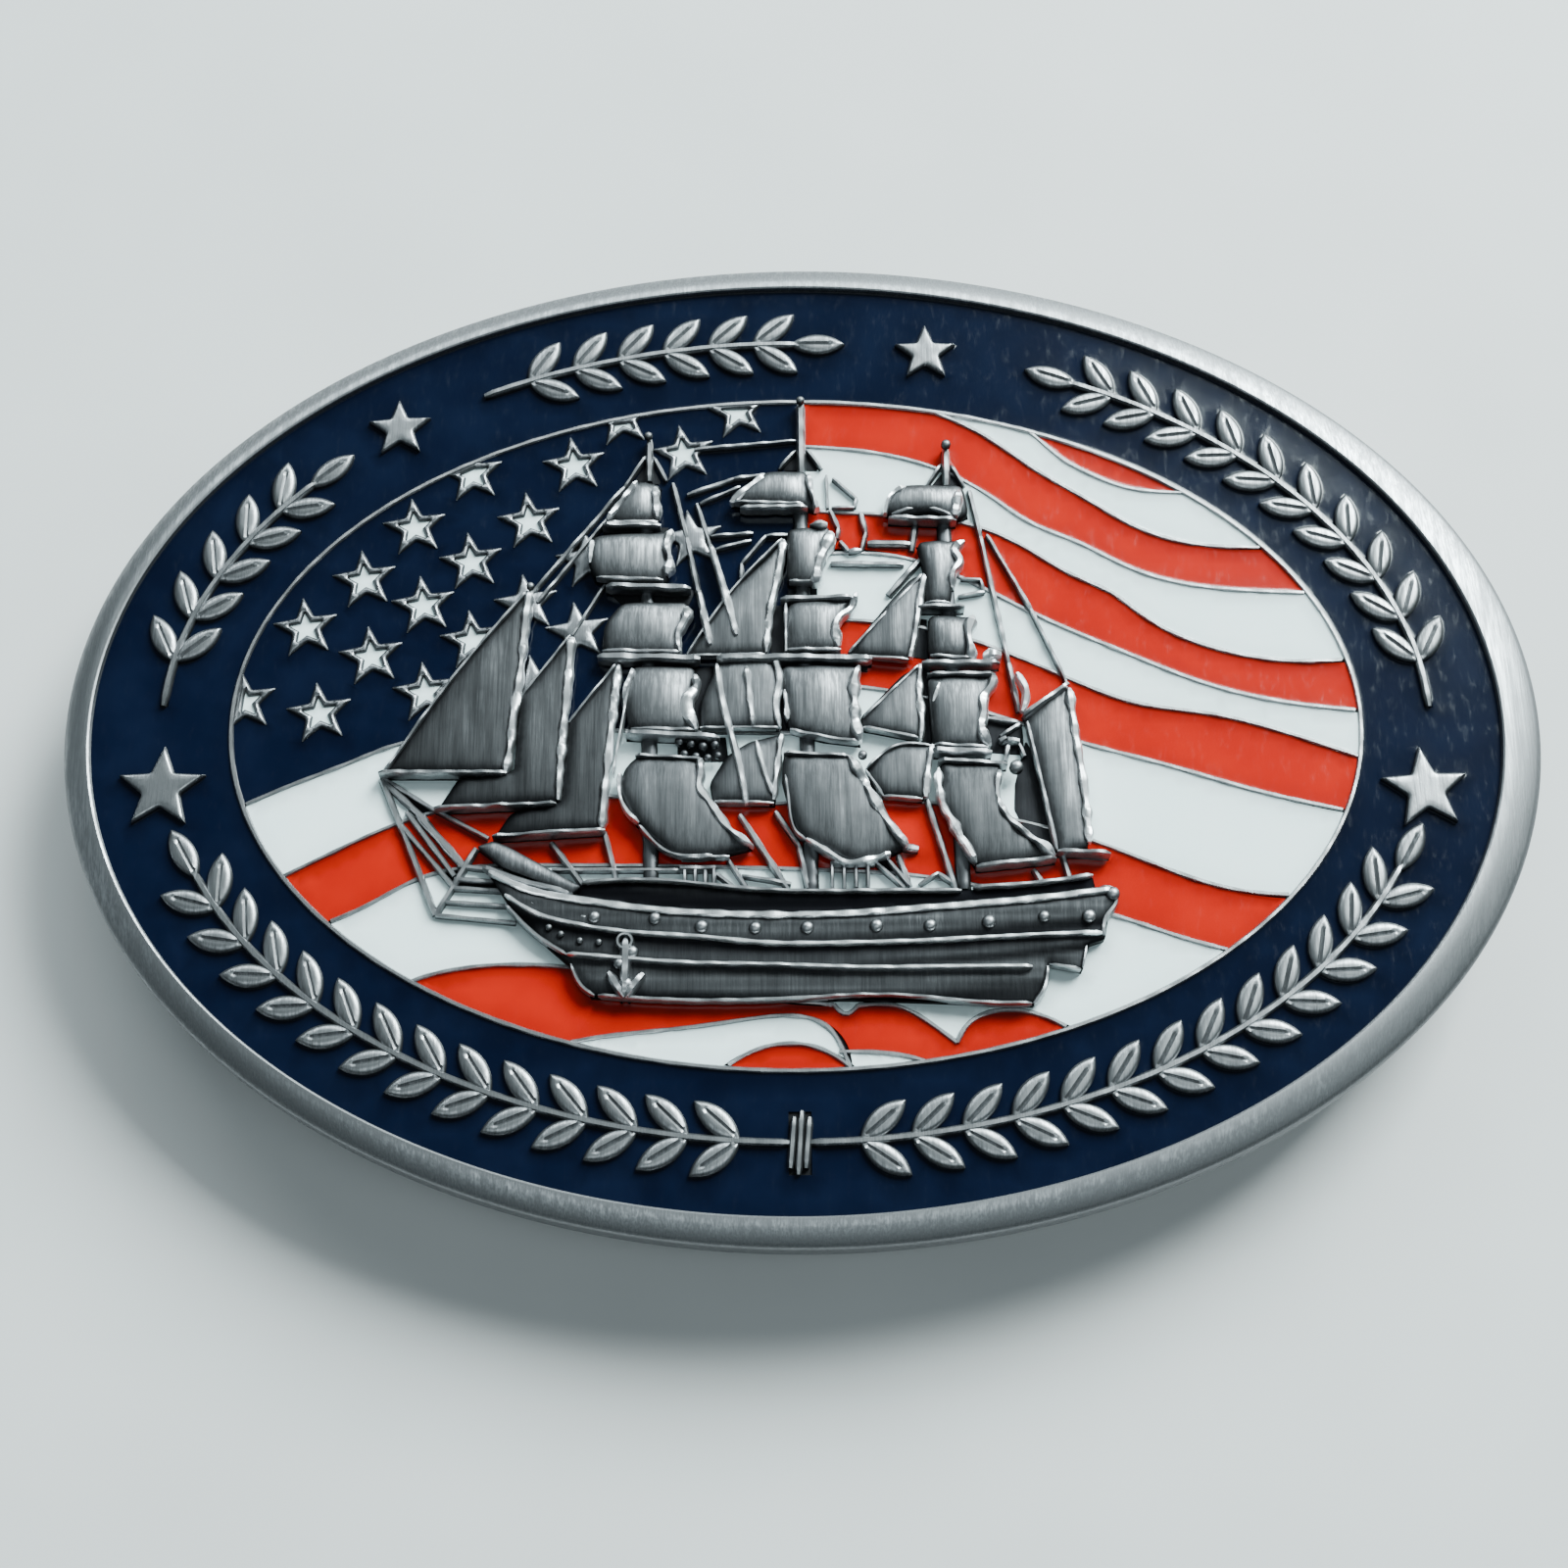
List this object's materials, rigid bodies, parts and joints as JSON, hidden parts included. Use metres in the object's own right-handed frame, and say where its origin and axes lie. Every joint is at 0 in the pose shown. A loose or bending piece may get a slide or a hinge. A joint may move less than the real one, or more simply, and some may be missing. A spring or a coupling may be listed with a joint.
{
  "type": "belt buckle plate",
  "caption": "Oval antiqued pewter buckle plate with a raised three-masted ship over an enamelled flag, a leafy enamel border, a wire belt bail and a belt stud.",
  "frame": {"origin": "under the middle of the oval, on the plane that the buckle lies on", "axes": "+Z is the way the face looks, +Y is up in the design, +X is to the viewer's right along the oval"},
  "size_m": [0.0888, 0.0634, 0.0088],
  "materials": {
    "pewter": "antiqued, brushed high spots",
    "lug_metal": "cast and tumbled",
    "stud_metal": "turned",
    "bail_wire": "drawn wire",
    "navy_enamel": "glossy soft enamel",
    "red_enamel": "glossy soft enamel",
    "white_enamel": "glossy soft enamel"
  },
  "bodies": {
    "buckle": {"plate_casting": "pewter", "hinge_lug_upper": "lug_metal", "hinge_lug_lower": "lug_metal", "belt_stud": "stud_metal", "border_enamel": "navy_enamel", "canton_enamel": "navy_enamel", "star_enamel": "white_enamel", "red_stripe_1": "red_enamel", "white_stripe_1": "white_enamel", "red_stripe_2": "red_enamel", "white_stripe_2": "white_enamel", "red_stripe_3": "red_enamel", "white_stripe_3": "white_enamel", "red_stripe_4": "red_enamel", "white_stripe_4": "white_enamel", "red_stripe_5": "red_enamel", "white_stripe_5": "white_enamel", "red_stripe_6": "red_enamel", "white_stripe_6": "white_enamel", "red_stripe_7": "red_enamel", "white_stripe_7": "white_enamel"},
    "bail": {"bail": "bail_wire"}
  },
  "joints": [
    {"name": "bail_swing", "type": "hinge", "parent": "buckle", "child": "bail", "pos_m": [0.0164, 0, 0.0022], "axis": [0, 1, 0], "range_deg": [-10, 181]}
  ]
}
